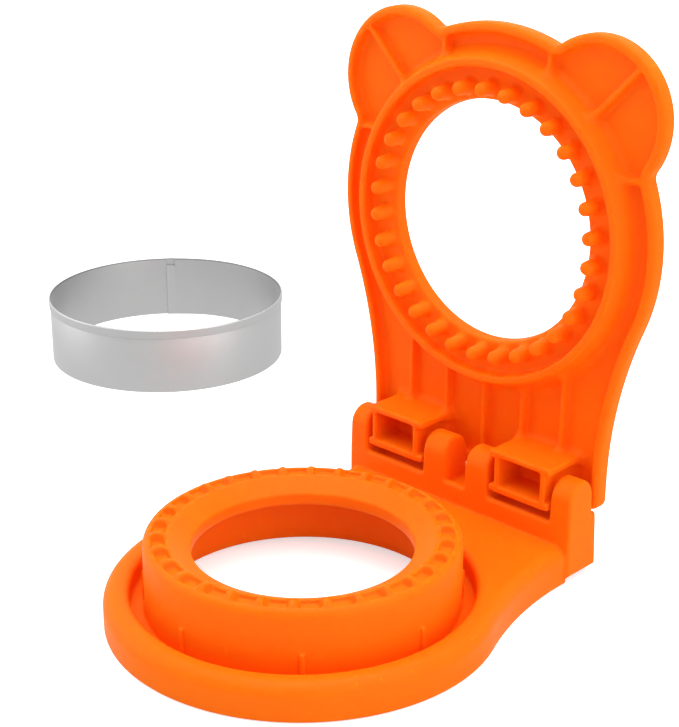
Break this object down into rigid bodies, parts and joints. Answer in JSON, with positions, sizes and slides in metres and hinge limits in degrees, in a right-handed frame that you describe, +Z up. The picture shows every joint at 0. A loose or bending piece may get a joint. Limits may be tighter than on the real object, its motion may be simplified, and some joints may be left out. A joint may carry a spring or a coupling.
{
  "type": "sandwich cutter and sealer",
  "caption": "Hinged hand press that crimps round filled sandwiches between a fluted ring and a toothed lid, with a loose round cutter.",
  "frame": {"origin": "on the table, in the middle of the base's front foot, on the line of symmetry of the press", "axes": "+X to the right of the press, +Y from the front of the press to its hinge, +Z up"},
  "size_m": [0.2943, 0.2122, 0.1573],
  "materials": {
    "orange_plastic": "satin moulded polypropylene",
    "orange_plastic_lid": "satin moulded polypropylene",
    "brushed_steel": "fine brushed strip"
  },
  "bodies": {
    "base": {"base_press": "orange_plastic"},
    "lid": {"lid_press": "orange_plastic_lid"},
    "cutter": {"cutter_ring": "brushed_steel"}
  },
  "joints": [
    {"name": "lid_hinge", "type": "hinge", "parent": "base", "child": "lid", "pos_m": [0, 0.1261, 0.0272], "axis": [1, 0, 0], "range_deg": [0, 90]},
    {"name": "cutter_lift", "type": "slide", "parent": "base", "child": "cutter", "axis": [0, 0, 1], "range_m": [0, 0.18]}
  ]
}
